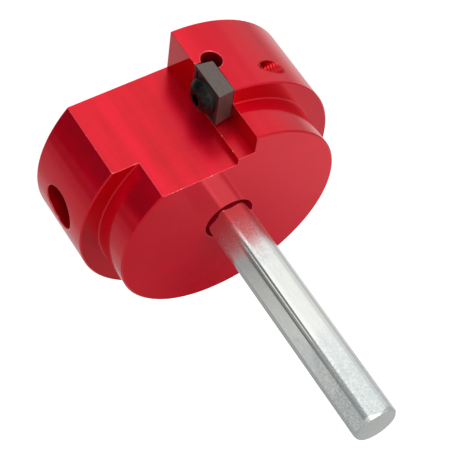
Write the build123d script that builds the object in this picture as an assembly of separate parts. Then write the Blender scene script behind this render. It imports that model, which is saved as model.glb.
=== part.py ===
from build123d import *
import math
import os

# Drill-driven cutter head: a stepped aluminium head with one clamped square insert and a hex shank.
# Millimetres. The origin is the centre of the rear face, +Z runs along the axis towards the shank's
# free end, +Y is the normal of the gullet's flat, and +X points from the gullet into the insert seat.

# Head
DRUM_RADIUS = 30.5
DRUM_LENGTH = 19.0
BOSS_RADIUS = 26.0
BOSS_LENGTH = 9.6
HEAD_LENGTH = DRUM_LENGTH + BOSS_LENGTH
REAR_CHAMFER = 0.2
STEP_CHAMFER = 0.3
FRONT_CHAMFER = 0.35
ROOT_FILLET = 0.3

# Chip gullet: everything above the flat and on the -X side of the axis plane
GULLET_FLAT_Y = 19.15

# Insert pocket: a channel from the gullet's wall, open to the front
POCKET_DEPTH = 3.9
POCKET_FLOOR_Y = 20.8
POCKET_REAR_Z = 9.75
RELIEF_RADIUS = 2.25
RELIEF_X = 3.8
RELIEF_Z = 10.0
RELIEF_FLOOR_Y = 20.4
RELIEF_LIP = 0.2

# Square insert, 7 degree relief on all four flanks
INSERT_SIDE = 9.525
INSERT_THICKNESS = 3.97
INSERT_RELIEF = 7.0
INSERT_NOSE_RADIUS = 0.4
INSERT_SEAT_NOSE_RADIUS = 0.2
INSERT_HOLE_RADIUS = 2.35
INSERT_LAND = 0.9
INSERT_GROOVE_DEPTH = 0.3
INSERT_GROOVE_RUN = 0.5
INSERT_PAD_RADIUS = 3.3
INSERT_PAD_RISE = 0.15
INSERT_CENTRE_Y = 25.92
INSERT_CENTRE_Z = 14.6
RAKE_X = POCKET_DEPTH - INSERT_THICKNESS
PAD_X = RAKE_X - INSERT_PAD_RISE

# Insert screw, M4 button head, along X
M4_RADIUS = 2.0
M4_PITCH = 0.7
M4_MINOR_RADIUS = 1.65
M4_GROOVE_FLAT = 0.14
M4_GROOVE_RUN = 0.26
SCREW_Y = 25.66
SCREW_Z = 14.42
BUTTON_RADIUS = 3.9
BUTTON_HEIGHT = 2.1
BUTTON_RIM = 0.35
BUTTON_CROWN_RADIUS = 1.9
BUTTON_DOME_RISE = 0.32
BUTTON_SOCKET_FLATS = 2.5
BUTTON_SOCKET_DEPTH = 1.3
SCREW_LENGTH = 12.0
SCREW_TIP_CHAMFER = 0.4

# Hex shank
HEX_FLATS = 9.5
HEX_EDGE_ROUND = 2.1
HEX_CREST_RADIUS = (HEX_FLATS / 2 - HEX_EDGE_ROUND) / math.cos(math.radians(30)) + HEX_EDGE_ROUND
SHANK_BOTTOM_Z = 4.4
SHANK_TOP_Z = 84.7
SHANK_END_RADIUS = 4.5
SHANK_END_TAPER = 0.85
SHANK_FOOT_TAPER = 0.5
SHANK_FOOT_RADIUS = 4.6
SHANK_SPOT_X = 4.7
SHANK_SPOT_TOP_Z = 15.5

# Shank bore
BORE_BOTTOM_Z = 4.0
BORE_MOUTH_RADIUS = 5.75
BORE_MOUTH_DEPTH = 7.0

# Set screw, M8, along X through a plain access hole
SET_SCREW_Z = DRUM_LENGTH / 2
ACCESS_RADIUS = 5.0
ACCESS_FLOOR_X = -16.0
ACCESS_LIP = 0.3
M8_RADIUS = 4.0
SET_SCREW_LENGTH = 10.0
SET_SCREW_SOCKET_FLATS = 4.0
SET_SCREW_SOCKET_DEPTH = 4.0
SET_SCREW_POINT_RADIUS = 2.75
SET_SCREW_CHAMFER = 0.6

RUNNING_CLEARANCE = 0.03
POINT_GAP = 0.02
CUT_MARGIN = 1.0
JOIN_MARGIN = 0.1
RADIUS_TOLERANCE = 0.01


def along_x(x, y=0.0, z=0.0):
    """A plane whose normal is +X."""
    return Plane(origin=(x, y, z), x_dir=(0, 1, 0), z_dir=(1, 0, 0))


def rod_x(radius, x_start, x_end, y=0.0, z=0.0):
    """A cylinder from x_start to x_end along X."""
    return extrude(along_x(x_start, y, z) * Circle(radius), x_end - x_start)


def hex_prism_x(flats, x_start, x_end, y=0.0, z=0.0):
    """A hexagonal prism along X, for a key socket."""
    outline = RegularPolygon(flats / 2, 6, major_radius=False)
    return extrude(along_x(x_start, y, z) * outline, x_end - x_start)


def box_between(low, high):
    """A box from its lowest to its highest corner."""
    size = [b - a for a, b in zip(low, high)]
    return Pos(*low) * Box(*size, align=(Align.MIN, Align.MIN, Align.MIN))


def turned_head():
    """Drum, step and pilot boss as one turned blank."""
    top = HEAD_LENGTH
    outline = Polyline(
        (0, 0),
        (DRUM_RADIUS - REAR_CHAMFER, 0),
        (DRUM_RADIUS, REAR_CHAMFER),
        (DRUM_RADIUS, DRUM_LENGTH - STEP_CHAMFER),
        (DRUM_RADIUS - STEP_CHAMFER, DRUM_LENGTH),
        (BOSS_RADIUS, DRUM_LENGTH),
        (BOSS_RADIUS, top - FRONT_CHAMFER),
        (BOSS_RADIUS - FRONT_CHAMFER, top),
        (0, top),
        close=True,
    )
    blank = revolve(Plane.XZ * make_face(outline), Axis.Z)
    steps = blank.edges().filter_by(GeomType.CIRCLE).filter_by_position(
        Axis.Z, DRUM_LENGTH - RADIUS_TOLERANCE, DRUM_LENGTH + RADIUS_TOLERANCE)
    root = [edge for edge in steps if abs(edge.radius - BOSS_RADIUS) < RADIUS_TOLERANCE]
    return fillet(root, ROOT_FILLET)


def gullet():
    """The chip gullet's L-shaped cut over the whole length."""
    reach = DRUM_RADIUS + CUT_MARGIN
    low = (-reach, GULLET_FLAT_Y, -CUT_MARGIN)
    return box_between(low, (0, reach, HEAD_LENGTH + CUT_MARGIN))


def insert_pocket():
    """The insert's channel with the drilled relief at its inner corner."""
    reach = DRUM_RADIUS + CUT_MARGIN
    channel = box_between(
        (-CUT_MARGIN, POCKET_FLOOR_Y, POCKET_REAR_Z),
        (POCKET_DEPTH, reach, HEAD_LENGTH + CUT_MARGIN),
    )
    drilled = Plane(origin=(RELIEF_X, RELIEF_FLOOR_Y, RELIEF_Z), z_dir=(0, 1, 0))
    relief = extrude(drilled * Circle(RELIEF_RADIUS), reach - RELIEF_FLOOR_Y)
    return channel + relief


def shank_bore():
    """Blind bore for the shank, opened out at the mouth."""
    bore_radius = HEX_CREST_RADIUS + RUNNING_CLEARANCE
    mouth_z = HEAD_LENGTH - BORE_MOUTH_DEPTH
    bore = Pos(0, 0, BORE_BOTTOM_Z) * Cylinder(
        bore_radius, HEAD_LENGTH - BORE_BOTTOM_Z, align=(Align.CENTER, Align.CENTER, Align.MIN))
    mouth = Pos(0, 0, mouth_z) * Cylinder(
        BORE_MOUTH_RADIUS, BORE_MOUTH_DEPTH + CUT_MARGIN, align=(Align.CENTER, Align.CENTER, Align.MIN))
    return bore + mouth


def set_screw_hole():
    """Plain access hole from the outside, then the set screw's hole into the shank bore."""
    access = rod_x(ACCESS_RADIUS, -DRUM_RADIUS - CUT_MARGIN, ACCESS_FLOOR_X, z=SET_SCREW_Z)
    tapped = rod_x(M8_RADIUS, ACCESS_FLOOR_X, 0, z=SET_SCREW_Z)
    return access + tapped


def thread_groove():
    """One ring of the insert screw's tapped hole, along X from the origin."""
    flat_start = M4_GROOVE_RUN
    flat_end = M4_GROOVE_RUN + M4_GROOVE_FLAT
    groove_end = flat_end + M4_GROOVE_RUN
    outline = Polyline(
        (0, M4_MINOR_RADIUS - JOIN_MARGIN),
        (0, M4_MINOR_RADIUS),
        (flat_start, M4_RADIUS),
        (flat_end, M4_RADIUS),
        (groove_end, M4_MINOR_RADIUS),
        (groove_end, M4_MINOR_RADIUS - JOIN_MARGIN),
        close=True,
    )
    return revolve(make_face(outline), Axis.X)


def insert_screw_hole():
    """Through hole for the insert screw; its free end shows the thread's grooves."""
    thread_x = PAD_X + SCREW_LENGTH + M4_PITCH
    exit_x = math.sqrt(DRUM_RADIUS**2 - (SCREW_Y - M4_RADIUS)**2) + CUT_MARGIN
    hole = rod_x(M4_RADIUS, 0, thread_x, SCREW_Y, SCREW_Z)
    hole += rod_x(M4_MINOR_RADIUS, thread_x, exit_x, SCREW_Y, SCREW_Z)
    for turn in range(math.floor((exit_x - thread_x) / M4_PITCH)):
        hole += Pos(thread_x + turn * M4_PITCH, SCREW_Y, SCREW_Z) * thread_groove()
    return hole


def on_outside(point):
    """Whether a point lies on the drum's outside diameter."""
    return abs(math.hypot(point.X, point.Y) - DRUM_RADIUS) < RADIUS_TOLERANCE


def outside_rim(head, centre, reach):
    """The edges round a hole's mouth on the drum's outside diameter."""
    found = []
    for edge in head.edges():
        offset = edge @ 0.5 - Vector(*centre)
        near = max(abs(offset.X), abs(offset.Y), abs(offset.Z)) <= reach
        if near and all(on_outside(edge @ share) for share in (0, 0.5, 1)):
            found.append(edge)
    return found


def cutter_body():
    """The finished head."""
    head = turned_head()
    for cut in (gullet(), insert_pocket(), shank_bore(), set_screw_hole(), insert_screw_hole()):
        head -= cut
    access_mouth = (-DRUM_RADIUS, 0, SET_SCREW_Z)
    relief_mouth = (RELIEF_X, DRUM_RADIUS, RELIEF_Z)
    head = chamfer(outside_rim(head, access_mouth, ACCESS_RADIUS + JOIN_MARGIN), ACCESS_LIP)
    return chamfer(outside_rim(head, relief_mouth, RELIEF_RADIUS + JOIN_MARGIN), RELIEF_LIP)


def hex_shank():
    """Hex bar with rounded corners, a turned free end and an open spot flat at the foot."""
    hexagon = RegularPolygon(HEX_FLATS / 2, 6, major_radius=False)
    hexagon = fillet(hexagon.vertices(), HEX_EDGE_ROUND)
    bar = extrude(Plane.XY.offset(SHANK_BOTTOM_Z) * hexagon, SHANK_TOP_Z - SHANK_BOTTOM_Z)
    taper_start = SHANK_TOP_Z - SHANK_END_TAPER
    ends = Polyline(
        (0, SHANK_BOTTOM_Z),
        (SHANK_FOOT_RADIUS, SHANK_BOTTOM_Z),
        (HEX_CREST_RADIUS, SHANK_BOTTOM_Z + SHANK_FOOT_TAPER),
        (HEX_CREST_RADIUS + CUT_MARGIN, SHANK_BOTTOM_Z + SHANK_FOOT_TAPER),
        (HEX_CREST_RADIUS + CUT_MARGIN, taper_start),
        (HEX_CREST_RADIUS, taper_start),
        (SHANK_END_RADIUS, SHANK_TOP_Z),
        (0, SHANK_TOP_Z),
        close=True,
    )
    bar &= revolve(Plane.XZ * make_face(ends), Axis.Z)
    reach = HEX_CREST_RADIUS + CUT_MARGIN
    return bar - box_between((-reach, -reach, 0), (-SHANK_SPOT_X, reach, SHANK_SPOT_TOP_Z))


def rake_square(side, radius, x):
    """A round-cornered square, square to X, centred on the insert."""
    plane = along_x(x, INSERT_CENTRE_Y, INSERT_CENTRE_Z)
    return plane * RectangleRounded(side, side, radius)


def insert_blank():
    """The insert's tapered block, widest at the rake face."""
    narrowing = INSERT_THICKNESS * math.tan(math.radians(INSERT_RELIEF))
    rake = rake_square(INSERT_SIDE, INSERT_NOSE_RADIUS, RAKE_X)
    seat = rake_square(INSERT_SIDE - 2 * narrowing, INSERT_SEAT_NOSE_RADIUS, POCKET_DEPTH)
    return loft([rake, seat])


def chip_breaker():
    """The sunken floor round the pad: a frame with sloping outer walls."""
    outer = INSERT_SIDE - 2 * INSERT_LAND
    inner = outer - 2 * INSERT_GROOVE_RUN
    floor_x = RAKE_X + INSERT_GROOVE_DEPTH
    corner = INSERT_NOSE_RADIUS
    sunk = loft([rake_square(outer, corner, RAKE_X), rake_square(inner, corner, floor_x)])
    pad = rod_x(INSERT_PAD_RADIUS, RAKE_X - CUT_MARGIN, floor_x, INSERT_CENTRE_Y, INSERT_CENTRE_Z)
    return sunk - pad


def cutting_insert():
    """Square carbide insert with chip breaker, centre pad and screw hole."""
    insert = insert_blank() - chip_breaker()
    insert += rod_x(INSERT_PAD_RADIUS, PAD_X, RAKE_X + JOIN_MARGIN, INSERT_CENTRE_Y, INSERT_CENTRE_Z)
    hole = rod_x(INSERT_HOLE_RADIUS, PAD_X - CUT_MARGIN, POCKET_DEPTH + CUT_MARGIN,
                 INSERT_CENTRE_Y, INSERT_CENTRE_Z)
    return insert - hole


def button_head(crown_x):
    """The screw's domed head, from the insert's pad to its flat crown."""
    rim = Line((PAD_X, BUTTON_RADIUS), (PAD_X - BUTTON_RIM, BUTTON_RADIUS))
    dome = SagittaArc(rim @ 1, (crown_x, BUTTON_CROWN_RADIUS), -BUTTON_DOME_RISE)
    rest = Polyline(dome @ 1, (crown_x, 0), (PAD_X, 0), rim @ 0)
    return revolve(make_face(Wire([rim, dome, *rest.edges()])), Axis.X)


def insert_screw():
    """M4 button-head screw; its stem fills the engaged thread as a plain running fit."""
    crown_x = PAD_X - BUTTON_HEIGHT
    end_x = PAD_X + SCREW_LENGTH
    radius = M4_RADIUS - RUNNING_CLEARANCE
    stem_outline = Polyline(
        (PAD_X - JOIN_MARGIN, 0),
        (PAD_X - JOIN_MARGIN, radius),
        (end_x - SCREW_TIP_CHAMFER, radius),
        (end_x, radius - SCREW_TIP_CHAMFER),
        (end_x, 0),
        close=True,
    )
    stem = revolve(make_face(stem_outline), Axis.X)
    screw = Pos(0, SCREW_Y, SCREW_Z) * (button_head(crown_x) + stem)
    socket = hex_prism_x(BUTTON_SOCKET_FLATS, crown_x - CUT_MARGIN, crown_x + BUTTON_SOCKET_DEPTH,
                         SCREW_Y, SCREW_Z)
    return screw - socket


def shank_set_screw():
    """M8 set screw with a hex socket and a short flat point."""
    point_x = -SHANK_SPOT_X - POINT_GAP
    back_x = point_x - SET_SCREW_LENGTH
    radius = M8_RADIUS - RUNNING_CLEARANCE
    outline = Polyline(
        (back_x, 0),
        (back_x, radius - SET_SCREW_CHAMFER),
        (back_x + SET_SCREW_CHAMFER, radius),
        (point_x - (radius - SET_SCREW_POINT_RADIUS), radius),
        (point_x, SET_SCREW_POINT_RADIUS),
        (point_x, 0),
        close=True,
    )
    screw = Pos(0, 0, SET_SCREW_Z) * revolve(make_face(outline), Axis.X)
    socket = hex_prism_x(SET_SCREW_SOCKET_FLATS, back_x - CUT_MARGIN, back_x + SET_SCREW_SOCKET_DEPTH,
                         z=SET_SCREW_Z)
    return screw - socket


def main():
    os.makedirs("parts", exist_ok=True)
    pieces = {
        "cutter_body": cutter_body(),
        "hex_shank": hex_shank(),
        "cutting_insert": cutting_insert(),
        "insert_screw": insert_screw(),
        "shank_set_screw": shank_set_screw(),
    }
    for name, piece in pieces.items():
        export_step(piece, f"parts/{name}.step")


main()
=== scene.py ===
import math
import bmesh
import bpy
from mathutils import Matrix, Vector


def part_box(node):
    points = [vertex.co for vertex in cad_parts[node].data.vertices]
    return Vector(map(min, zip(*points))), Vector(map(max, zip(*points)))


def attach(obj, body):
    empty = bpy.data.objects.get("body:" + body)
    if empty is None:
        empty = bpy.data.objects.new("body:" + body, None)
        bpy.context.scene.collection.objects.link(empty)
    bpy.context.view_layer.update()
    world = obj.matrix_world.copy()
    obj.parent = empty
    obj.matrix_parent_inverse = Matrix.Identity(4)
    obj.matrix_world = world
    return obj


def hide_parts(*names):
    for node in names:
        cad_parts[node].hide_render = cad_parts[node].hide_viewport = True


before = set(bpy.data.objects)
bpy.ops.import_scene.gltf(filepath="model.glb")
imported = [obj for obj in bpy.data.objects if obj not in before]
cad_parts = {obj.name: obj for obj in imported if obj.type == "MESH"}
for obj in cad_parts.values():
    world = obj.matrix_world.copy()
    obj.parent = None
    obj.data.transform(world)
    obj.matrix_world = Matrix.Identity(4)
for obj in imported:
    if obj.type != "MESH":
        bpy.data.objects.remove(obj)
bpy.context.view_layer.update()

# A drill-driven cutter head: an anodised head, a plated hex shank, a carbide insert and two screws.
# Lengths in the mesh code are millimetres; a piece is scaled to metres when it is made.
MM = 0.001
X, Y, Z = range(3)


def lowest(node, axis):
    """Where a CAD node starts along an axis, in millimetres."""
    return round(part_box(node)[0][axis] / MM, 2)


def highest(node, axis):
    """Where a CAD node ends along an axis, in millimetres."""
    return round(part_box(node)[1][axis] / MM, 2)


def span(node, axis):
    """How long a CAD node is along an axis, in millimetres."""
    low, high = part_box(node)
    return round((high[axis] - low[axis]) / MM, 3)


def centre_of(node, axis):
    """The middle of a CAD node along an axis, in millimetres."""
    low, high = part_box(node)
    return round((high[axis] + low[axis]) / 2 / MM, 2)


# Head: its outer sizes come from the frame, its cuts and holes repeat the CAD's, and its edges are finer
DRUM_RADIUS = round(-lowest("cutter_body", X), 1)  # a meshed circle may end just short of its radius
DRUM_LENGTH = 19.0
BOSS_RADIUS = 26.0
HEAD_LENGTH = highest("cutter_body", Z)
REAR_CHAMFER = 0.2
STEP_CHAMFER = 0.3
FRONT_CHAMFER = 0.35
ROOT_FILLET = 0.3
GULLET_FLAT_Y = 19.15
POCKET_DEPTH = highest("cutting_insert", X)  # the insert's back lies against the pocket's wall
POCKET_FLOOR_Y = 20.8
POCKET_REAR_Z = 9.75
RELIEF_RADIUS = 2.25
RELIEF_X = 3.8
RELIEF_Z = 10.0
RELIEF_FLOOR_Y = 20.4
RELIEF_LIP = 0.28
RELIEF_REACH = 15.0
RELIEF_RIM_Y = 25.8   # the outer rim of the relief hole lies beyond this
BORE_RADIUS = 5.19
BORE_BOTTOM_Z = 4.0
BORE_MOUTH_RADIUS = 5.75
BORE_MOUTH_DEPTH = 7.0
BORE_TURN = 0.6       # degrees; keeps the bore's corners off the radial edges of the turned faces
SET_SCREW_Z = centre_of("shank_set_screw", Z)
ACCESS_RADIUS = 5.0
ACCESS_FLOOR_X = -16.0
ACCESS_LIP = 0.3
M8_RADIUS = 4.0
M4_RADIUS = 2.0
M4_MINOR_RADIUS = 1.65
M4_PITCH = 0.7
TAPPED_RADIUS = 2.12
TAPPED_MINOR_RADIUS = 1.72
DRILL_POINT_ANGLE = 118.0
PLAIN_END_X = 12.49   # where the insert screw's hole stops being plain
M4_THREAD_START_X = 12.5
M4_THREAD_END_X = 21.0
SCREW_Y = centre_of("insert_screw", Y)
SCREW_Z = centre_of("insert_screw", Z)
EDGE_BREAK = 0.1
SHARP_ANGLE = 20.0    # degrees; edges flatter than this are left alone
SLIVER_AREA = 0.0005  # square millimetres; faces below this are too small to round over
REACH = 40.0          # how far a cutter runs past the head
OVERLAP = 1.0         # how far a cutter starts or ends inside a space that is open already
RIM_BAND = 1.0        # how far outside a hole's radius its rim is looked for

# Mesh: how close points and surfaces may come, and how many steps a round takes
HAIR = 0.001          # keeps two surfaces from coinciding
MERGE = 1e-4          # points closer than this become one
CUT_MERGE = 1e-3      # the same, where cutters have met
TOUCH = 0.05          # closer than this counts as lying on a surface
FACING = 0.99         # a normal that points at least this much along an axis faces it
LATHE_STEPS = 288
BORE_STEPS = 144
HOLE_STEPS = 96
FILLET_STEPS = 5
ROUND_STEPS = 3
THREAD_ROWS = 10      # rows of faces in one turn of a thread
THREAD_CREST = 0.125  # the crest's share of the pitch
THREAD_ROOT = 0.125   # the root's share of the pitch


# ---------------------------------------------------------------- mesh helpers

def lathe(bm, profile, steps):
    """Turn a profile of (radius, z) points, whose ends lie on the axis, about Z."""
    join_all(bm, [plain_ring(bm, radius, z, steps) if radius else [bm.verts.new((0, 0, z))]
                  for radius, z in profile])


def join_rings(bm, lower, upper):
    """Skin two rings of the same count, or a ring and a single point."""
    count = max(len(lower), len(upper))
    for i in range(count):
        j = (i + 1) % count
        corners = [lower[i % len(lower)], lower[j % len(lower)], upper[j % len(upper)], upper[i % len(upper)]]
        unique = list(dict.fromkeys(corners))
        if len(unique) > 2:
            bm.faces.new(unique)


def plain_ring(bm, radius, z, steps):
    """A ring of points about Z."""
    turn = [math.tau * i / steps for i in range(steps)]
    return [bm.verts.new((radius * math.cos(a), radius * math.sin(a), z)) for a in turn]


def join_all(bm, rings):
    """Skin a stack of rings."""
    for lower, upper in zip(rings, rings[1:]):
        join_rings(bm, lower, upper)


def box(bm, low, high):
    """A closed box, used only as a cutter."""
    size = Vector(high) - Vector(low)
    middle = (Vector(high) + Vector(low)) / 2
    bmesh.ops.create_cube(bm, size=1, matrix=Matrix.Translation(middle) @ Matrix.Diagonal((*size, 1)))


def onto_x(x=0.0, y=0.0, z=0.0):
    """Matrix that lays a piece turned about Z along X, with its axis through (y, z)."""
    return Matrix.Translation((x, y, z)) @ Matrix.Rotation(math.pi / 2, 4, "Y")


def paint(mesh, material, test):
    """Give the faces that pass a test, on their normal and their centre in millimetres, another material."""
    mesh.materials.append(material)
    for polygon in mesh.polygons:
        if test(polygon.normal, polygon.center / MM):
            polygon.material_index = len(mesh.materials) - 1


def make_object(name, bm, material=None, place=None):
    """An object from a bmesh in millimetres."""
    if place is not None:
        bm.transform(place)
    bmesh.ops.recalc_face_normals(bm, faces=bm.faces[:])
    bm.transform(Matrix.Scale(MM, 4))
    mesh = bpy.data.meshes.new(name)
    bm.to_mesh(mesh)
    bm.free()
    if material is not None:
        mesh.materials.append(material)
    piece = bpy.data.objects.new(name, mesh)
    bpy.context.scene.collection.objects.link(piece)
    return piece


def cut(piece, cutter):
    """Take a cutter away from a piece; the cut faces keep the cutter's material."""
    modifier = piece.modifiers.new("cut", "BOOLEAN")
    modifier.operation = "DIFFERENCE"
    modifier.solver = "EXACT"
    modifier.material_mode = "TRANSFER"
    modifier.object = cutter
    graph = bpy.context.evaluated_depsgraph_get()
    result = bpy.data.meshes.new_from_object(piece.evaluated_get(graph))
    piece.modifiers.clear()
    piece.data = result
    bpy.data.objects.remove(cutter)


def thread_shape(turn, minor, major):
    """Radius of a thread at a fraction of a turn: root, flank, crest, flank."""
    from_crest = abs(turn % 1.0 - 0.5) * 2
    rise = (1.0 - THREAD_ROOT - from_crest) / (1.0 - THREAD_ROOT - THREAD_CREST)
    return minor + (major - minor) * min(max(rise, 0.0), 1.0)


def threaded_rings(bm, start, end, pitch, minor, major, start_taper=0.0, end_taper=0.0):
    """Rings of a helical thread along Z whose rows follow the helix; a taper thins an end."""
    rows = math.ceil((end - start) / pitch + 1) * THREAD_ROWS
    rings = []
    for row in range(rows + 1):
        ring = []
        for i in range(HOLE_STEPS):
            angle = math.tau * i / HOLE_STEPS
            z = start + pitch * (row / THREAD_ROWS - 1 + i / HOLE_STEPS)
            z = min(max(z, start), end)
            radius = thread_shape((z - start) / pitch - i / HOLE_STEPS, minor, major)
            if start_taper:
                radius = min(radius, major - start_taper + (z - start))
            if end_taper:
                radius = min(radius, major - end_taper + (end - z))
            ring.append(bm.verts.new((radius * math.cos(angle), radius * math.sin(angle), z)))
        rings.append(ring)
    return rings


def skin_thread(bm, rings):
    """Join helix rows; the seam steps by one turn."""
    steps = len(rings[0])
    last = len(rings) - 1
    for row in range(last):
        for i in range(steps - 1):
            bm.faces.new((rings[row][i], rings[row][i + 1], rings[row + 1][i + 1], rings[row + 1][i]))
        near, far = min(row + THREAD_ROWS, last), min(row + 1 + THREAD_ROWS, last)
        if near != far:
            bm.faces.new((rings[row][-1], rings[near][0], rings[far][0], rings[row + 1][-1]))


def close_thread(bm):
    """Merge the points that a thread's clamped ends share, and cap what is still open."""
    bmesh.ops.remove_doubles(bm, verts=bm.verts[:], dist=MERGE)
    bmesh.ops.dissolve_degenerate(bm, edges=bm.edges[:], dist=MERGE)
    bmesh.ops.holes_fill(bm, edges=[edge for edge in bm.edges if edge.is_boundary], sides=0)


def break_edges(bm, edges, width, material=-1):
    """Round a set of edges over; -1 keeps the neighbouring face's material."""
    edges = [edge for edge in edges if edge.is_valid]
    if edges:
        bmesh.ops.bevel(bm, geom=edges, offset=width, offset_type="OFFSET", segments=ROUND_STEPS,
                        profile=0.5, affect="EDGES", clamp_overlap=False, material=material)


def shade(piece, sharp_angle=35):
    """Smooth shading with hard edges kept, and flat faces that stay flat beside their rounded edges."""
    mesh = piece.data
    for polygon in mesh.polygons:
        polygon.use_smooth = True
    mesh.set_sharp_from_angle(angle=math.radians(sharp_angle))
    weighting = piece.modifiers.new("weighted", "WEIGHTED_NORMAL")
    weighting.keep_sharp = True


# ---------------------------------------------------------------- materials

class Shader:
    """A material's node tree, with short calls for the nodes that these finishes use."""

    def __init__(self, name):
        self.material = bpy.data.materials.new(name)
        self.material.use_nodes = True
        self.tree = self.material.node_tree
        self.surface = self.tree.nodes["Principled BSDF"]
        self.place = self.tree.nodes.new("ShaderNodeTexCoord").outputs["Object"]

    def set(self, **values):
        """Give sockets of the surface a plain value; an underscore stands for a space in a name."""
        for name, value in values.items():
            self.surface.inputs[name.replace("_", " ")].default_value = value

    def node(self, kind, inputs=None, **settings):
        """A new node with its inputs and its settings."""
        made = self.tree.nodes.new(kind)
        for name, value in settings.items():
            setattr(made, name, value)
        for name, value in (inputs or {}).items():
            self.feed(made.inputs[name], value)
        return made

    def feed(self, socket, value):
        """Link another node's output to a socket, or give the socket a value."""
        if isinstance(value, bpy.types.NodeSocket):
            self.tree.links.new(value, socket)
        else:
            socket.default_value = value

    def math(self, operation, *values):
        """A sum, product or other operation on textures and numbers."""
        made = self.tree.nodes.new("ShaderNodeMath")
        made.operation = operation
        for socket, value in zip(made.inputs, values):
            self.feed(socket, value)
        return made.outputs[0]

    def noise(self, per_mm, stretch=(1, 1, 1), detail=2.0, roughness=0.5):
        """Noise of so many cells per millimetre, squeezed along each axis by stretch."""
        mapping = self.node("ShaderNodeMapping", {"Vector": self.place, "Scale": stretch})
        made = self.node("ShaderNodeTexNoise", {"Vector": mapping.outputs[0], "Scale": per_mm / MM,
                                                "Detail": detail, "Roughness": roughness})
        return made.outputs["Fac"]

    def spread(self, value, low, high, from_low=0.3, from_high=0.7):
        """A 0..1 texture mapped to a range."""
        made = self.node("ShaderNodeMapRange", {"Value": value, "From Min": from_low, "From Max": from_high,
                                                "To Min": low, "To Max": high})
        return made.outputs[0]

    def mix(self, share, first, second):
        """A colour between two, by a 0..1 texture."""
        made = self.node("ShaderNodeMix", data_type="RGBA")
        self.feed(made.inputs[0], share)
        self.feed(made.inputs[6], first)
        self.feed(made.inputs[7], second)
        return made.outputs[2]

    def split(self):
        """The place on the part as X, Y and Z, in metres."""
        return self.node("ShaderNodeSeparateXYZ", {"Vector": self.place}).outputs

    def bump(self, height, depth_mm):
        """Relief of a given depth."""
        made = self.node("ShaderNodeBump", {"Height": height, "Distance": depth_mm * MM, "Strength": 1.0})
        self.feed(self.surface.inputs["Normal"], made.outputs[0])


RED_LIGHT = (0.78, 0.0, 0.022, 1)
RED_DEEP = (0.72, 0.0, 0.014, 1)
RED_GRAZING = (1.0, 0.75, 0.75, 1)
DYE_PATCHES_PER_MM = 0.12
SHEEN_PATCHES_PER_MM = 0.35
SMOOTHER = 0.03     # how far below its mean a finish's roughness goes
ROUGHER = 0.04      # and how far above


def anodised(name, marks, roughness, depth_mm=0.0016, metallic=0.75, coat=0.55, coat_roughness=0.08,
             lathe_cut=False, light=RED_LIGHT, deep=RED_DEEP, marked=0.4):
    """Dyed anodising over machined aluminium: red metal, a share of scattering dye and a thin clear oxide.

    marked is how much of the colour's variation follows the tool marks; lathe_cut stretches the
    reflections across them."""
    s = Shader(name)
    s.set(Metallic=metallic, Specular_IOR_Level=0.0, Specular_Tint=RED_GRAZING, Coat_Weight=coat,
          Coat_Roughness=coat_roughness, Coat_IOR=1.5)
    height = marks(s)
    patches = s.math("MULTIPLY", s.noise(DYE_PATCHES_PER_MM), 1.0 - marked)
    tone = s.math("ADD", patches, s.math("MULTIPLY", height, marked))
    s.feed(s.surface.inputs["Base Color"], s.mix(s.spread(tone, 0.0, 1.0), light, deep))
    sheen = s.noise(SHEEN_PATCHES_PER_MM, detail=4)
    s.feed(s.surface.inputs["Roughness"], s.spread(sheen, roughness - SMOOTHER, roughness + ROUGHER))
    s.bump(height, depth_mm)
    if lathe_cut:
        around = s.node("ShaderNodeTangent", direction_type="RADIAL", axis="Z")
        s.feed(s.surface.inputs["Tangent"], around.outputs[0])
        s.set(Anisotropic=0.8, Anisotropic_Rotation=0.25)
    return s.material


TURNING_LINES_PER_MM = 2.2
MILLING_LINES_PER_MM = 0.9
MILL_RADIUS = 21.0
MILL_CENTRE_X = -11.0
ARC_SHARE = 0.25     # how much of the milled relief is the tool's arcs; streaks make the rest


def turned_marks(s):
    """Lines round the outside: they change along the axis only."""
    return s.noise(TURNING_LINES_PER_MM, stretch=(0.004, 0.004, 1.0), detail=3, roughness=0.7)


def line_noise(s, length, per_mm):
    """Noise that changes with one length only."""
    made = s.node("ShaderNodeTexNoise", {"W": length, "Scale": per_mm / MM, "Detail": 3.0, "Roughness": 0.7},
                  noise_dimensions="1D")
    return made.outputs["Fac"]


def faced_marks(s):
    """Rings of a facing cut: they change with the distance from the axis."""
    x, y, _ = s.split()
    radius = s.math("SQRT", s.math("ADD", s.math("MULTIPLY", x, x), s.math("MULTIPLY", y, y)))
    return line_noise(s, radius, TURNING_LINES_PER_MM)


def milled_marks(s):
    """Arcs of an end mill that travelled along the axis, and soft lengthwise streaks."""
    x, _, z = s.split()
    across = s.math("SUBTRACT", x, MILL_CENTRE_X * MM)
    inside = s.math("SUBTRACT", (MILL_RADIUS * MM) ** 2, s.math("MULTIPLY", across, across))
    sweep = s.math("ADD", z, s.math("SQRT", s.math("MAXIMUM", inside, 0.0)))
    arcs = s.math("MULTIPLY", line_noise(s, sweep, MILLING_LINES_PER_MM), ARC_SHARE)
    streaks = s.spread(s.noise(0.22, stretch=(1, 1, 0.07), detail=3), 0.15, 0.85, 0.35, 0.65)
    return s.math("ADD", arcs, s.math("MULTIPLY", streaks, 1.0 - ARC_SHARE))


def drilled_marks(s):
    """Fine unevenness, for the holes, the pocket and the gullet's wall."""
    return s.noise(3.0, detail=3)


def rubbed_and_glint_spots(s):
    """Small pale spots where an edge has lost its dye; they also stand for painted glints along the edges."""
    return s.spread(s.noise(0.7, detail=4, roughness=0.7), 0.7, 0.3, 0.6, 0.68)


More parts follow.
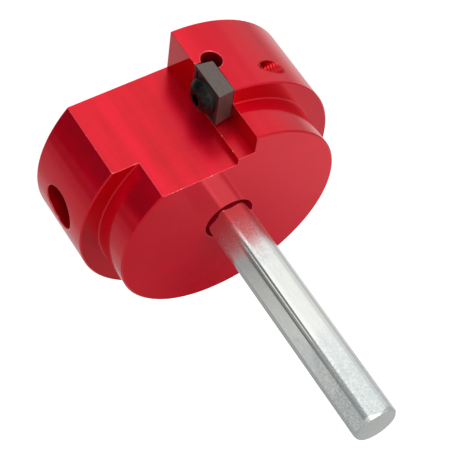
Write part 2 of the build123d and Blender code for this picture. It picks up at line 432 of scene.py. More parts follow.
ZINC_PALE = (0.725, 0.73, 0.685, 1)
ZINC_BLUE = (0.58, 0.635, 0.655, 1)
MIRROR_END_Z = 30.0         # the plating is all metal up to here
DULL_START_Z = 46.0         # and has its usual haze from here
BASE_BLOOM_START_Z = 29.5   # the crystals near the head fade in
BASE_BLOOM_FULL_Z = 33.0
BASE_BLOOM_FADE_Z = 36.0    # and out again
BASE_BLOOM_END_Z = 42.0
TIP_BLOOM_START_Z = 62.0    # the crystals near the tip fade in
TIP_BLOOM_FULL_Z = 74.0
BLOOM_WANDER = 30.0         # how ragged the bloom's borders are
TIP_FACE_DEPTH = 0.05       # the end face, this close to the top, has none
CRYSTALS_PER_MM = 3.0


def zinc_bloom(s, z):
    """How crystalline the plating is along the bar: near the head, and more so near the tip."""
    wander = s.math("MULTIPLY", s.math("SUBTRACT", s.noise(0.12, detail=3), 0.5), BLOOM_WANDER * MM)
    place = s.math("ADD", z, wander)
    past_mouth = s.spread(z, 0.0, 1.0, BASE_BLOOM_START_Z * MM, BASE_BLOOM_FULL_Z * MM)
    near_base = s.spread(place, 1.0, 0.0, BASE_BLOOM_FADE_Z * MM, BASE_BLOOM_END_Z * MM)
    near_tip = s.spread(place, 0.0, 1.0, TIP_BLOOM_START_Z * MM, TIP_BLOOM_FULL_Z * MM)
    off_face = s.math("LESS_THAN", z, (SHANK_TOP_Z - TIP_FACE_DEPTH) * MM)
    base_bloom = s.math("MULTIPLY", s.math("MULTIPLY", near_base, past_mouth), 0.8)
    return s.math("MAXIMUM", base_bloom, s.math("MULTIPLY", near_tip, off_face))


def zinc():
    """Bright zinc plating on drawn bar: smooth in the middle, with a crystalline bloom near both ends."""
    s = Shader("zinc_plated_bar")
    s.set(Specular_IOR_Level=0.0)
    z = s.split()[Z]
    s.feed(s.surface.inputs["Metallic"], s.spread(z, 1.0, 0.88, MIRROR_END_Z * MM, DULL_START_Z * MM))
    bloom = zinc_bloom(s, z)
    cells = s.node("ShaderNodeTexVoronoi", {"Vector": s.place, "Scale": CRYSTALS_PER_MM / MM,
                                            "Randomness": 1.0})
    speckle = s.node("ShaderNodeSeparateColor", {"Color": cells.outputs["Color"]}).outputs[0]
    crystals = s.math("MULTIPLY", speckle, s.math("ADD", s.math("MULTIPLY", bloom, 0.75), 0.15))
    drawn = s.noise(1.6, stretch=(1, 1, 0.03), detail=2)
    stains = s.spread(s.noise(0.5, stretch=(1, 1, 0.5), detail=5, roughness=0.65), 0, 0.35)
    tone = s.math("ADD", s.math("ADD", crystals, s.math("MULTIPLY", drawn, 0.2)), stains)
    s.feed(s.surface.inputs["Base Color"], s.mix(s.spread(tone, 0, 1, 0.1, 1.15), ZINC_PALE, ZINC_BLUE))
    matt = s.math("ADD", s.math("MULTIPLY", bloom, 0.1), s.math("MULTIPLY", crystals, 0.12))
    s.feed(s.surface.inputs["Roughness"], s.math("ADD", matt, 0.11))
    s.bump(s.math("ADD", crystals, s.math("MULTIPLY", drawn, 0.5)), 0.008)
    return s.material


CARBIDE_GROUND = ((0.165, 0.132, 0.12, 1), (0.11, 0.09, 0.08, 1))
CARBIDE_MOULDED = ((0.07, 0.055, 0.055, 1), (0.045, 0.035, 0.035, 1))


def carbide(name, light, dark, roughness):
    """Tungsten carbide: grinding lines and a fine grain."""
    s = Shader(name)
    s.set(Metallic=0.65)
    grain = s.noise(6.0, detail=3)
    ground = s.noise(3.0, stretch=(1, 0.05, 1), detail=2)
    tone = s.math("ADD", s.math("MULTIPLY", grain, 0.5), s.math("MULTIPLY", ground, 0.5))
    s.feed(s.surface.inputs["Base Color"], s.mix(s.spread(tone, 0, 1, 0.35, 0.65), light, dark))
    s.feed(s.surface.inputs["Roughness"], s.spread(grain, roughness - 0.05, roughness + 0.07))
    s.bump(tone, 0.002)
    return s.material


OXIDE_BLACK = (0.022, 0.02, 0.02, 1)
OXIDE_WORN = (0.07, 0.065, 0.06, 1)


def black_oxide():
    """Oiled black oxide on steel, a little brighter where the key rubs."""
    s = Shader("black_oxide_steel")
    s.set(Metallic=0.9)
    worn = s.spread(s.noise(0.9, detail=4), 0, 1, 0.55, 0.8)
    s.feed(s.surface.inputs["Base Color"], s.mix(worn, OXIDE_BLACK, OXIDE_WORN))
    s.feed(s.surface.inputs["Roughness"], s.spread(s.noise(4.0, detail=3), 0.33, 0.45))
    s.bump(s.noise(5.0, detail=3), 0.002)
    return s.material


# The head's finishes, by the tool that made each face; the darker wall and pocket reds are painted shade, the
# lighter bore red painted light
HEAD_TURNED = anodised("anodised_turned", turned_marks, 0.21, lathe_cut=True)
HEAD_FACED = anodised("anodised_faced", faced_marks, 0.14, metallic=0.5, coat=0.48, lathe_cut=True)
HEAD_STEP = anodised("anodised_step", faced_marks, 0.3, metallic=1.0, coat=0.36, lathe_cut=True)
HEAD_MILLED = anodised("anodised_milled", milled_marks, 0.35, depth_mm=0.004, coat_roughness=0.25,
                       deep=(0.6, 0.0, 0.008, 1), marked=0.8)
# A darker red than the turned faces: painted shade on the gullet's wall.
HEAD_SIDE_MILLED_SHADED = anodised("anodised_side_milled_painted_shade", drilled_marks, 0.09, metallic=0.97, coat=0.5,
                            coat_roughness=0.04, light=(0.68, 0.0, 0.014, 1), deep=(0.6, 0.0, 0.01, 1))
# A darker red than the turned faces: painted shade on the pocket's walls.
HEAD_POCKET_SHADED = anodised("anodised_pocket_painted_shade", drilled_marks, 0.4, metallic=0.9,
                       light=(0.66, 0.0, 0.014, 1), deep=(0.6, 0.0, 0.01, 1))
HEAD_DRILLED = anodised("anodised_drilled", drilled_marks, 0.35, metallic=0.88)
# A lighter red than the turned faces: painted light inside the bore.
HEAD_BORED_LIT = anodised("anodised_bored_painted_light", drilled_marks, 0.35, metallic=0.2, coat=0.1,
                      light=(0.95, 0.0, 0.04, 1), deep=(0.9, 0.0, 0.03, 1))
# Pale spots on the rounded edges: dye rubbed off, and painted glints along the edges.
HEAD_EDGE_WEAR_AND_GLINT = anodised("anodised_edge_wear_and_glint", rubbed_and_glint_spots, 0.3, depth_mm=0.001, coat=1.0,
                     light=(0.92, 0.5, 0.5, 1), deep=(0.8, 0.03, 0.05, 1), marked=1.0)
HEAD_THREAD = anodised("anodised_thread", drilled_marks, 0.2, metallic=1.0, coat=1.0,
                       light=(0.78, 0.05, 0.07, 1), deep=(0.7, 0.03, 0.05, 1))


# ---------------------------------------------------------------- head

def arc_points(centre, radius, start, end, steps):
    """Points of (radius, z) along an arc, angles in degrees."""
    turn = [math.radians(start + (end - start) * i / steps) for i in range(steps + 1)]
    return [(centre[0] + radius * math.cos(a), centre[1] + radius * math.sin(a)) for a in turn]


def turned_blank():
    """Drum, step and boss turned in one piece; its flat ends carry the faced finish."""
    root = (BOSS_RADIUS + ROOT_FILLET, DRUM_LENGTH + ROOT_FILLET)
    profile = [(0, 0), (DRUM_RADIUS - REAR_CHAMFER, 0), (DRUM_RADIUS, REAR_CHAMFER),
               (DRUM_RADIUS, DRUM_LENGTH - STEP_CHAMFER), (DRUM_RADIUS - STEP_CHAMFER, DRUM_LENGTH),
               *arc_points(root, ROOT_FILLET, 270, 180, FILLET_STEPS),
               (BOSS_RADIUS, HEAD_LENGTH - FRONT_CHAMFER), (BOSS_RADIUS - FRONT_CHAMFER, HEAD_LENGTH),
               (0, HEAD_LENGTH)]
    bm = bmesh.new()
    lathe(bm, profile, LATHE_STEPS)
    blank = make_object("head_blank", bm, HEAD_TURNED)
    between = (DRUM_LENGTH + HEAD_LENGTH) / 2
    paint(blank.data, HEAD_FACED, lambda normal, centre: abs(normal.z) > FACING)
    paint(blank.data, HEAD_STEP, lambda normal, centre: normal.z > FACING and centre.z < between)
    return blank


def box_cutter(low, high, sides):
    """A box whose lower face leaves a milled floor and whose other faces leave the sides' finish."""
    bm = bmesh.new()
    box(bm, low, high)
    cutter = make_object("cutter", bm, sides)
    paint(cutter.data, HEAD_MILLED, lambda normal, centre: normal.y < -FACING)
    return cutter


def round_cutter(profile, place, material, steps=HOLE_STEPS):
    """A turned cutter, laid where a hole goes."""
    bm = bmesh.new()
    lathe(bm, profile, steps)
    return make_object("cutter", bm, material, place)


def gullet_cutter():
    """The L-shaped chip gullet: its flat and its wall."""
    return box_cutter((-REACH, GULLET_FLAT_Y, -REACH), (0, REACH, REACH), HEAD_SIDE_MILLED_SHADED)


def pocket_cutter():
    """The insert's pocket, open towards the front and the outside."""
    return box_cutter((-OVERLAP, POCKET_FLOOR_Y, POCKET_REAR_Z), (POCKET_DEPTH, REACH, REACH), HEAD_POCKET_SHADED)


def relief_cutter():
    """The drilling that clears the insert's rear corner."""
    place = Matrix.Translation((RELIEF_X, RELIEF_FLOOR_Y, RELIEF_Z)) @ Matrix.Rotation(-math.pi / 2, 4, "X")
    profile = [(0, 0), (RELIEF_RADIUS, 0), (RELIEF_RADIUS, RELIEF_REACH), (0, RELIEF_REACH)]
    return round_cutter(profile, place, HEAD_DRILLED)


def bore_cutter():
    """The shank's blind bore and its wider mouth."""
    mouth_z = HEAD_LENGTH - BORE_MOUTH_DEPTH
    profile = [(0, BORE_BOTTOM_Z), (BORE_RADIUS, BORE_BOTTOM_Z), (BORE_RADIUS, mouth_z),
               (BORE_MOUTH_RADIUS, mouth_z), (BORE_MOUTH_RADIUS, REACH), (0, REACH)]
    turn = Matrix.Rotation(math.radians(BORE_TURN), 4, "Z")
    return round_cutter(profile, turn, HEAD_BORED_LIT, BORE_STEPS)


def set_screw_cutter():
    """Access hole with a drilled shoulder, then the set screw's own hole into the bore."""
    shoulder = (ACCESS_RADIUS - M8_RADIUS) / math.tan(math.radians(DRILL_POINT_ANGLE / 2))
    profile = [(0, ACCESS_FLOOR_X - REACH), (ACCESS_RADIUS, ACCESS_FLOOR_X - REACH),
               (ACCESS_RADIUS, ACCESS_FLOOR_X), (M8_RADIUS, ACCESS_FLOOR_X + shoulder),
               (M8_RADIUS, -OVERLAP), (0, -OVERLAP)]
    return round_cutter(profile, onto_x(z=SET_SCREW_Z), HEAD_DRILLED)


def insert_screw_cutter():
    """Plain where the screw runs, threaded where the hole comes out."""
    bm = bmesh.new()
    thread = threaded_rings(bm, M4_THREAD_START_X, M4_THREAD_END_X, M4_PITCH, TAPPED_MINOR_RADIUS,
                            TAPPED_RADIUS)
    plain = [plain_ring(bm, M4_RADIUS + HAIR, z, HOLE_STEPS) for z in (-OVERLAP, PLAIN_END_X)]
    join_all(bm, [[bm.verts.new((0, 0, -OVERLAP))], *plain, thread[0]])
    skin_thread(bm, thread)
    close_thread(bm)
    return make_object("cutter", bm, HEAD_THREAD, onto_x(0, SCREW_Y, SCREW_Z))


def middle_of(edge):
    """The middle of an edge, in millimetres."""
    return (edge.verts[0].co + edge.verts[1].co) / 2 / MM


def round_over_head(head):
    """Break the milled and drilled edges; turned chamfers and the thread stay as they are."""
    # The rounded edges get pale spots: worn dye and painted glints.
    head.data.materials.append(HEAD_EDGE_WEAR_AND_GLINT)
    names = [material.name for material in head.data.materials]
    broken = len(names) - 1
    turned = {HEAD_TURNED.name, HEAD_FACED.name, HEAD_STEP.name}
    bm = bmesh.new()
    bm.from_mesh(head.data)
    bmesh.ops.remove_doubles(bm, verts=bm.verts[:], dist=CUT_MERGE * MM)
    bmesh.ops.dissolve_degenerate(bm, edges=bm.edges[:], dist=2 * CUT_MERGE * MM)

    def cut_edges(test):
        """Sharp outer edges that a mill or a drill left, of those that pass a test."""
        found = []
        for edge in bm.edges:
            if len(edge.link_faces) != 2 or not edge.is_convex:
                continue
            finishes = {names[face.material_index] for face in edge.link_faces}
            if finishes <= turned or HEAD_THREAD.name in finishes:
                continue
            if min(face.calc_area() for face in edge.link_faces) < SLIVER_AREA * MM ** 2:
                continue
            if edge.calc_face_angle() > math.radians(SHARP_ANGLE) and test(edge):
                found.append(edge)
        return found

    def at_access(edge):
        mouth = Vector((-DRUM_RADIUS, 0, SET_SCREW_Z))
        return (middle_of(edge) - mouth).length < ACCESS_RADIUS + RIM_BAND

    def at_relief(edge):
        middle = middle_of(edge)
        from_axis = math.hypot(middle.x - RELIEF_X, middle.z - RELIEF_Z)
        return abs(from_axis - RELIEF_RADIUS) < TOUCH and middle.y > RELIEF_RIM_Y

    def elsewhere(edge):
        return not at_access(edge) and not at_relief(edge)

    break_edges(bm, cut_edges(at_access), ACCESS_LIP * MM, broken)
    break_edges(bm, cut_edges(at_relief), RELIEF_LIP * MM, broken)
    break_edges(bm, cut_edges(elsewhere), EDGE_BREAK * MM, broken)
    bm.to_mesh(head.data)
    bm.free()


def make_head():
    """The head, cut step by step like the real one."""
    head = turned_blank()
    for cutter in (gullet_cutter(), pocket_cutter(), relief_cutter(), bore_cutter(), set_screw_cutter(),
                   insert_screw_cutter()):
        cut(head, cutter)
    head.name = "anodised_head"
    round_over_head(head)
    shade(head)
    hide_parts("cutter_body")
    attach(head, "head")


# ---------------------------------------------------------------- shank

HEX_FLATS = span("hex_shank", Y)
HEX_EDGE_ROUND = 2.1
SHANK_BOTTOM_Z = lowest("hex_shank", Z)
SHANK_TOP_Z = highest("hex_shank", Z)
SHANK_END_RADIUS = 4.5
SHANK_END_TAPER = 0.85
SHANK_FOOT_RADIUS = 4.6
SHANK_FOOT_TAPER = 0.5
SHANK_SPOT_X = 4.7
SHANK_SPOT_TOP_Z = 15.5
SHANK_SHARP_ANGLE = 20
CORNER_STEPS = 14
FACET_STEPS = 8


def hex_outline():
    """The bar's section: six rounded corners and six facets, as points about the axis."""
    corner_centre = (HEX_FLATS / 2 - HEX_EDGE_ROUND) / math.cos(math.radians(30))
    points = []
    for corner in range(6):
        middle = math.radians(60 * corner)
        centre = Vector((math.cos(middle), math.sin(middle))) * corner_centre
        for i in range(CORNER_STEPS + 1):
            turn = middle + math.radians(-30 + 60 * i / CORNER_STEPS)
            points.append(centre + Vector((math.cos(turn), math.sin(turn))) * HEX_EDGE_ROUND)
        facet_normal = middle + math.radians(30)
        along = Vector((-math.sin(facet_normal), math.cos(facet_normal)))
        foot = Vector((math.cos(facet_normal), math.sin(facet_normal))) * HEX_FLATS / 2
        half = corner_centre / 2
        for i in range(1, FACET_STEPS):
            points.append(foot + along * (half * (2 * i / FACET_STEPS - 1)))
    return points


def make_shank():
    """Hex bar whose turned end meets the facets in scallops, with the set screw's spot flat."""
    outline = hex_outline()
    crest = max(point.length for point in outline)
    bm = bmesh.new()

    def ring(height_of, most=None, spotted=False):
        """The section at a height, no further out than most, and cut by the spot flat if spotted."""
        made = []
        for point in outline:
            x, y = point
            if most is not None:
                factor = min(1.0, most / point.length)
                x, y = x * factor, y * factor
            if spotted:
                x = max(x, -SHANK_SPOT_X)
            made.append(bm.verts.new((x, y, height_of(point))))
        return made

    end_slope = SHANK_END_TAPER / (crest - SHANK_END_RADIUS)
    foot_slope = SHANK_FOOT_TAPER / (crest - SHANK_FOOT_RADIUS)
    rings = [
        [bm.verts.new((0, 0, SHANK_BOTTOM_Z))],
        ring(lambda p: SHANK_BOTTOM_Z, SHANK_FOOT_RADIUS),
        ring(lambda p: SHANK_BOTTOM_Z + max(p.length - SHANK_FOOT_RADIUS, 0) * foot_slope, spotted=True),
        ring(lambda p: SHANK_SPOT_TOP_Z, spotted=True),
        ring(lambda p: SHANK_SPOT_TOP_Z),
        ring(lambda p: SHANK_TOP_Z - max(p.length - SHANK_END_RADIUS, 0) * end_slope),
        ring(lambda p: SHANK_TOP_Z, SHANK_END_RADIUS),
        [bm.verts.new((0, 0, SHANK_TOP_Z))],
    ]
    join_all(bm, rings)
    bmesh.ops.remove_doubles(bm, verts=bm.verts[:], dist=MERGE)
    shank = make_object("plated_hex_shank", bm, zinc())
    shade(shank, SHANK_SHARP_ANGLE)
    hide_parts("hex_shank")
    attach(shank, "shank")


# ---------------------------------------------------------------- insert

INSERT_SIDE = span("cutting_insert", Y)
INSERT_THICKNESS = 3.97
INSERT_RELIEF = 7.0
INSERT_NOSE_RADIUS = 0.4
INSERT_SEAT_NOSE_RADIUS = 0.2
INSERT_HOLE_RADIUS = 2.35
INSERT_SINK_RADIUS = 2.9
INSERT_LAND = 0.9
INSERT_GROOVE_DEPTH = 0.3
INSERT_GROOVE_RUN = 0.5
INSERT_PAD_RADIUS = 3.3
INSERT_PAD_RISE = 0.15
INSERT_HONE = 0.06
HONE_SHARE = 0.3        # the honed edge's middle ring, as a share of its width
SEAT_BREAK = 0.1
SEAT_FLARE = 0.02       # what the relief angle adds over the height of the seat's broken edge
GROOVE_KNEE_RUN = 0.3   # the groove's side has most of its depth after this share of its run
GROOVE_KNEE_LEFT = 0.1  # and this share of the depth is left
PAD_FOOT = 0.08         # the pad's small root bevel: its width
PAD_FOOT_RISE = 0.1     # and its height
PAD_BREAK = 0.05
RAKE_SIDE = 0.3         # a face whose normal leans at least this much to -X is on the moulded side
INSERT_SHARP_ANGLE = 25
INSERT_CENTRE_Y = centre_of("cutting_insert", Y)
INSERT_CENTRE_Z = centre_of("cutting_insert", Z)
RAKE_X = POCKET_DEPTH - INSERT_THICKNESS
PAD_X = RAKE_X - INSERT_PAD_RISE
NOSE_STEPS = 10
SIDE_STEPS = 14


def square_ring(bm, side, nose, x):
    """A round-cornered square about the insert's centre, at one depth."""
    ring = []
    inner = side / 2 - nose
    for corner, (sy, sz) in enumerate(((1, 1), (-1, 1), (-1, -1), (1, -1))):
        for i in range(NOSE_STEPS + 1):
            turn = math.radians(90 * corner + 90 * i / NOSE_STEPS)
            ring.append((sy * inner + nose * math.cos(turn), sz * inner + nose * math.sin(turn)))
        start = Vector(ring[-1])
        turned = Matrix.Rotation(math.radians(90 * corner + 90), 2)
        end = turned @ Vector((inner + nose, inner))
        for i in range(1, SIDE_STEPS):
            ring.append(tuple(start.lerp(end, i / SIDE_STEPS)))
    return [bm.verts.new((x, INSERT_CENTRE_Y + y, INSERT_CENTRE_Z + z)) for y, z in ring]


def circle_ring(bm, radius, x, like):
    """A circle whose points lie at the same angles as another ring's."""
    ring = []
    for vertex in like:
        direction = Vector((vertex.co.y - INSERT_CENTRE_Y, vertex.co.z - INSERT_CENTRE_Z)).normalized()
        ring.append(bm.verts.new((x, INSERT_CENTRE_Y + direction.x * radius,
                                  INSERT_CENTRE_Z + direction.y * radius)))
    return ring


def make_insert():
    """Square insert from ring to ring: seat, flank, honed edge, land, groove, pad, countersink, hole."""
    narrowing = INSERT_THICKNESS * math.tan(math.radians(INSERT_RELIEF))
    seat_side = INSERT_SIDE - 2 * narrowing
    groove_side = INSERT_SIDE - 2 * INSERT_LAND
    floor_x = RAKE_X + INSERT_GROOVE_DEPTH
    bm = bmesh.new()
    sink = INSERT_SINK_RADIUS - INSERT_HOLE_RADIUS
    hone_share = HONE_SHARE * INSERT_HONE
    edge = square_ring(bm, INSERT_SIDE, INSERT_NOSE_RADIUS, RAKE_X + INSERT_HONE)
    rings = [
        circle_ring(bm, INSERT_HOLE_RADIUS, POCKET_DEPTH, edge),
        square_ring(bm, seat_side - 2 * SEAT_BREAK, INSERT_SEAT_NOSE_RADIUS, POCKET_DEPTH),
        square_ring(bm, seat_side + SEAT_FLARE, INSERT_SEAT_NOSE_RADIUS, POCKET_DEPTH - SEAT_BREAK),
        edge,
        square_ring(bm, INSERT_SIDE - hone_share, INSERT_NOSE_RADIUS, RAKE_X + hone_share),
        square_ring(bm, INSERT_SIDE - 2 * INSERT_HONE, INSERT_NOSE_RADIUS, RAKE_X),
        square_ring(bm, groove_side, INSERT_NOSE_RADIUS, RAKE_X),
        square_ring(bm, groove_side - 2 * GROOVE_KNEE_RUN * INSERT_GROOVE_RUN, INSERT_NOSE_RADIUS,
                    floor_x - GROOVE_KNEE_LEFT * INSERT_GROOVE_DEPTH),
        square_ring(bm, groove_side - 2 * INSERT_GROOVE_RUN, INSERT_NOSE_RADIUS, floor_x),
        circle_ring(bm, INSERT_PAD_RADIUS + PAD_FOOT, floor_x, edge),
        circle_ring(bm, INSERT_PAD_RADIUS, floor_x - PAD_FOOT_RISE, edge),
        circle_ring(bm, INSERT_PAD_RADIUS, PAD_X + PAD_BREAK, edge),
        circle_ring(bm, INSERT_PAD_RADIUS - PAD_BREAK, PAD_X, edge),
        circle_ring(bm, INSERT_SINK_RADIUS, PAD_X, edge),
        circle_ring(bm, INSERT_HOLE_RADIUS, PAD_X + sink, edge),
    ]
    join_all(bm, rings + rings[:1])
    insert = make_object("carbide_insert", bm, carbide("ground_carbide", *CARBIDE_GROUND, 0.34))
    paint(insert.data, carbide("moulded_carbide", *CARBIDE_MOULDED, 0.3),
          lambda normal, centre: normal.x < -RAKE_SIDE)
    shade(insert, INSERT_SHARP_ANGLE)
    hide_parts("cutting_insert")
    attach(insert, "insert")


# ---------------------------------------------------------------- screws

BUTTON_RADIUS = 3.9
BUTTON_HEIGHT = 2.1
BUTTON_RIM = 0.35
BUTTON_CROWN_RADIUS = 1.9
BUTTON_DOME_RISE = 0.32
BUTTON_SOCKET_FLATS = 2.5
BUTTON_SOCKET_DEPTH = 1.3
SOCKET_LIP = 0.1
SOCKET_OVERRUN = 2.0  # how far the socket's cutter stands out of the screw
SOCKET_CONE = 0.4     # the drilled floor's depth over its radius
SOCKET_MOUTH = 0.6    # the mouth's corners lie within this share of the flats from the axis
SOCKET_RIM_ANGLE = 50
SCREW_SHARP_ANGLE = 30
CROWN_RING = 0.6      # a ring inside the flat crown, as a share of its radius
SCREW_LENGTH = round(span("insert_screw", X) - BUTTON_HEIGHT, 3)
SCREW_TIP_CHAMFER = 0.4
SCREW_RUN_CLEARANCE = 0.03
SET_SCREW_LENGTH = span("shank_set_screw", X)
SET_SCREW_SOCKET_FLATS = 4.0
SET_SCREW_SOCKET_DEPTH = 4.0
SET_SCREW_POINT_RADIUS = 2.75
SET_SCREW_CHAMFER = 0.8
M8_PITCH = 1.25
M8_MINOR_RADIUS = 3.3
DOME_STEPS = 14
UNDERCUT = 0.06       # the small bevel under the button head's rim


def socket_cutter(flats, depth, place, material):
    """A key socket: a hexagonal pocket with a drilled floor."""
    corner = flats / math.sqrt(3)
    bm = bmesh.new()
    profile = [(0, -SOCKET_OVERRUN), (corner, -SOCKET_OVERRUN), (corner, depth),
               (0, depth + SOCKET_CONE * flats / 2)]
    lathe(bm, profile, 6)
    return make_object("cutter", bm, material, place)


def dome_points():
    """The button head's side from its rim to its crown: an arc through both with a given rise."""
    start = Vector((BUTTON_RADIUS, -BUTTON_RIM))
    end = Vector((BUTTON_CROWN_RADIUS, -BUTTON_HEIGHT))
    chord = end - start
    half = chord.length / 2
    radius = (half * half + BUTTON_DOME_RISE ** 2) / (2 * BUTTON_DOME_RISE)
    outward = Vector((-chord.y, chord.x)).normalized()
    if outward.x < 0:
        outward = -outward
    centre = (start + end) / 2 - outward * (radius - BUTTON_DOME_RISE)
    first = math.atan2(start.y - centre.y, start.x - centre.x)
    last = math.atan2(end.y - centre.y, end.x - centre.x)
    turn = [first + (last - first) * i / DOME_STEPS for i in range(DOME_STEPS + 1)]
    return [(centre.x + radius * math.cos(a), centre.y + radius * math.sin(a)) for a in turn]


def make_insert_screw(material):
    """M4 button-head screw: the head's profile, then the thread, on one set of columns."""
    bm = bmesh.new()
    crest = M4_RADIUS - SCREW_RUN_CLEARANCE
    thread = threaded_rings(bm, 0.0, SCREW_LENGTH, M4_PITCH, M4_MINOR_RADIUS, crest,
                            end_taper=SCREW_TIP_CHAMFER)
    skin_thread(bm, thread)
    crown = [bm.verts.new((0, 0, -BUTTON_HEIGHT))]
    profile = [(BUTTON_CROWN_RADIUS * CROWN_RING, -BUTTON_HEIGHT), *reversed(dome_points()),
               (BUTTON_RADIUS, -UNDERCUT), (BUTTON_RADIUS - UNDERCUT, 0)]
    join_all(bm, [crown, *(plain_ring(bm, radius, z, HOLE_STEPS) for radius, z in profile), thread[0]])
    screw = finish_screw(bm, "insert_clamp_screw", material, onto_x(PAD_X, SCREW_Y, SCREW_Z),
                         BUTTON_SOCKET_FLATS, BUTTON_SOCKET_DEPTH, -BUTTON_HEIGHT)
    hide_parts("insert_screw")
    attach(screw, "clamp_screw")


def finish_screw(bm, name, material, place, flats, depth, top):
    """Close the thread's end, turn the screw into an object and cut its socket."""
    close_thread(bm)
    screw = make_object(name, bm, material, place)
    cut(screw, socket_cutter(flats, depth, place @ Matrix.Translation((0, 0, top)), material))
    mouth = place @ Vector((0, 0, top))
    bm = bmesh.new()
    bm.from_mesh(screw.data)

    def in_mouth(vertex):
        away = vertex.co / MM - mouth
        return abs(away.x) < TOUCH and math.hypot(away.y, away.z) < flats * SOCKET_MOUTH

    rim = [edge for edge in bm.edges
           if edge.is_convex and edge.calc_face_angle(0) > math.radians(SOCKET_RIM_ANGLE)
           and all(in_mouth(vertex) for vertex in edge.verts)]
    break_edges(bm, rim, SOCKET_LIP * MM)
    bm.to_mesh(screw.data)
    bm.free()
    shade(screw, SCREW_SHARP_ANGLE)
    return screw


def make_set_screw(material):
    """M8 set screw with a flat point, threaded over its whole length."""
    bm = bmesh.new()
    crest = M8_RADIUS - SCREW_RUN_CLEARANCE
    thread = threaded_rings(bm, 0.0, SET_SCREW_LENGTH, M8_PITCH, M8_MINOR_RADIUS, crest,
                            start_taper=SET_SCREW_CHAMFER, end_taper=crest - SET_SCREW_POINT_RADIUS)
    skin_thread(bm, thread)
    place = onto_x(lowest("shank_set_screw", X), 0, SET_SCREW_Z)
    screw = finish_screw(bm, "shank_clamp_screw", material, place, SET_SCREW_SOCKET_FLATS,
                         SET_SCREW_SOCKET_DEPTH, 0)
    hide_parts("shank_set_screw")
    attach(screw, "set_screw")


# ---------------------------------------------------------------- stage

# The camera's place and the point it looks at are in metres, its roll in degrees, its lens in millimetres
CAMERA_PLACE = (-0.13936, 0.31363, 0.20048)
CAMERA_TARGET = (-0.00138, -0.00063, 0.02929)
CAMERA_ROLL = 144.71
CAMERA_LENS = 145.65
SENSOR_WIDTH = 36.0
FLOOR_REACH = 1500.0
FLOOR_GAP = 0.1       # keeps the floor off the head's rear face
FLOOR_TONE = (0.35, 0.35, 0.35, 1)
FLOOR_GLOW = 0.88
WHITE = (1, 1, 1, 1)


def make_camera():
    """A long lens, rolled so that the shank runs down to the right."""
    data = bpy.data.cameras.new("camera")
    data.lens = CAMERA_LENS
    data.sensor_width = SENSOR_WIDTH
    data.clip_start = 0.01
    data.clip_end = 20
    camera = bpy.data.objects.new("camera", data)
    bpy.context.scene.collection.objects.link(camera)
    forward = Vector(CAMERA_TARGET) - Vector(CAMERA_PLACE)
    level = forward.to_track_quat("-Z", "Y").to_matrix()
    roll = Matrix.Rotation(math.radians(CAMERA_ROLL), 3, "Z")
    camera.matrix_world = Matrix.Translation(CAMERA_PLACE) @ (level @ roll).to_4x4()
    bpy.context.scene.camera = camera


def make_floor():
    """A plain pale floor under the part."""
    bm = bmesh.new()
    bmesh.ops.create_grid(bm, x_segments=2, y_segments=2, size=FLOOR_REACH)
    floor = make_object("floor", bm)
    floor.location.z = -FLOOR_GAP * MM
    material = bpy.data.materials.new("floor_paper")
    material.use_nodes = True
    paper = material.node_tree.nodes["Principled BSDF"]
    paper.inputs["Base Color"].default_value = FLOOR_TONE
    paper.inputs["Roughness"].default_value = 0.9
    paper.inputs["Specular IOR Level"].default_value = 0.0
    paper.inputs["Emission Color"].default_value = WHITE
    paper.inputs["Emission Strength"].default_value = FLOOR_GLOW
    floor.data.materials.append(material)
    floor.visible_glossy = False


def direction(azimuth, elevation):
    """Unit vector; azimuth is counted from +X towards +Y."""
    a, e = math.radians(azimuth), math.radians(elevation)
    return Vector((math.cos(a) * math.cos(e), math.sin(a) * math.cos(e), math.sin(e)))


STUDIO_LIGHT = 0.5
STUDIO_DARKEST = 0.03
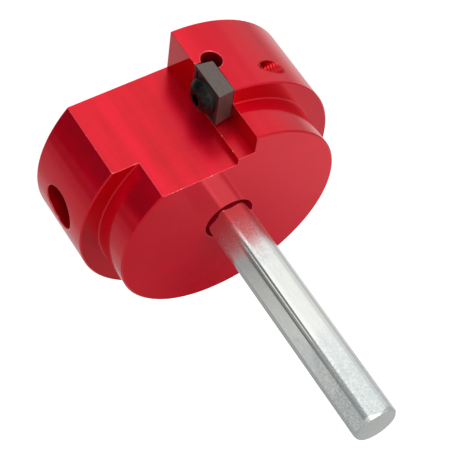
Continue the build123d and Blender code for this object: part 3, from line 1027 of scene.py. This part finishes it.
# Soft boxes and flags, far away: azimuth, elevation, radius and softness in degrees, change in brightness.
# The floor doesn't show in reflections, so they may lie below the horizon.
STUDIO_PATCHES = (
    # below it: what faces along the axis reflect, such as the flat, the outside and the shank's facets
    (70, -27, 10, 60, 0.33),
    (88, -27, 13, 10, 0.3),
    (65, -27, 7, 9, 0.24),
    (10, -27, 15, 20, -0.06),
    (145, -50, 38, 4, -0.44),
    (113, -36, 9.5, 7.5, -0.53),
    (137, -24, 2, 5, 1.1),
    (203, -29, 6, 6, -0.11),
    (187, -17, 5, 4, 0.34),
    (92, -19, 8, 4, 0.35),
    (70, -16, 7, 4, 0.2),
    (104, -18, 6, 4, 0.4),
    (118, -15, 5, 4, 0.3),
    (156, -16, 7, 4, 0.3),
    (252, -23.5, 3, 3, -0.12),
    (260, -23.5, 3, 3, -0.2),
    (34, -20, 8, 4, 0.2),
    (8, -20, 14, 6, 0.2),
    (-28, -28, 12, 8, 0.05),
    (196, -33, 6, 2.5, -0.22),
    (255, -34, 9, 4, 0.12),
    (235, -27, 25, 12, -0.06),
    (278, -27, 5, 15, 0.08),
    (308, -28, 5, 30, 0.21),
    # above it: what the front face, the rounded edges and the insert screw's head reflect
    (75, 27, 25, 15, 0.3),
    (85, 52, 15, 10, 2.5),
    (60, 60, 20, 40, 0.2),
    (-52, 27, 8, 8, 0.35),
    (-75, 26, 5, 6, -0.22),
    (-66, 23, 2, 3.2, -0.3),
    (-66, 14, 4, 4, 0.17),
)


def make_studio():
    """Soft light from all round, with brighter soft boxes and darker flags."""
    world = bpy.data.worlds.new("studio")
    bpy.context.scene.world = world
    world.use_nodes = True
    tree = world.node_tree
    background = tree.nodes["Background"]
    background.inputs["Color"].default_value = WHITE
    towards = tree.nodes.new("ShaderNodeTexCoord").outputs["Generated"]
    total = None
    for azimuth, elevation, radius, softness, change in STUDIO_PATCHES:
        dot = tree.nodes.new("ShaderNodeVectorMath")
        dot.operation = "DOT_PRODUCT"
        tree.links.new(towards, dot.inputs[0])
        dot.inputs[1].default_value = direction(azimuth, elevation)
        patch = tree.nodes.new("ShaderNodeMapRange")
        patch.interpolation_type = "SMOOTHSTEP"
        tree.links.new(dot.outputs["Value"], patch.inputs["Value"])
        patch.inputs["From Min"].default_value = math.cos(math.radians(radius + softness))
        patch.inputs["From Max"].default_value = math.cos(math.radians(radius))
        patch.inputs["To Min"].default_value = 0.0
        patch.inputs["To Max"].default_value = change
        add = tree.nodes.new("ShaderNodeMath")
        add.operation = "ADD"
        tree.links.new(patch.outputs[0], add.inputs[0])
        if total is None:
            add.inputs[1].default_value = STUDIO_LIGHT
        else:
            tree.links.new(total, add.inputs[1])
        total = add.outputs[0]
    at_least = tree.nodes.new("ShaderNodeMath")
    at_least.operation = "MAXIMUM"
    tree.links.new(total, at_least.inputs[0])
    at_least.inputs[1].default_value = STUDIO_DARKEST
    tree.links.new(at_least.outputs[0], background.inputs["Strength"])


make_head()
make_shank()
make_insert()
oxide = black_oxide()
make_insert_screw(oxide)
make_set_screw(oxide)
make_camera()
make_floor()
make_studio()
bpy.context.scene.view_settings.view_transform = "Standard"
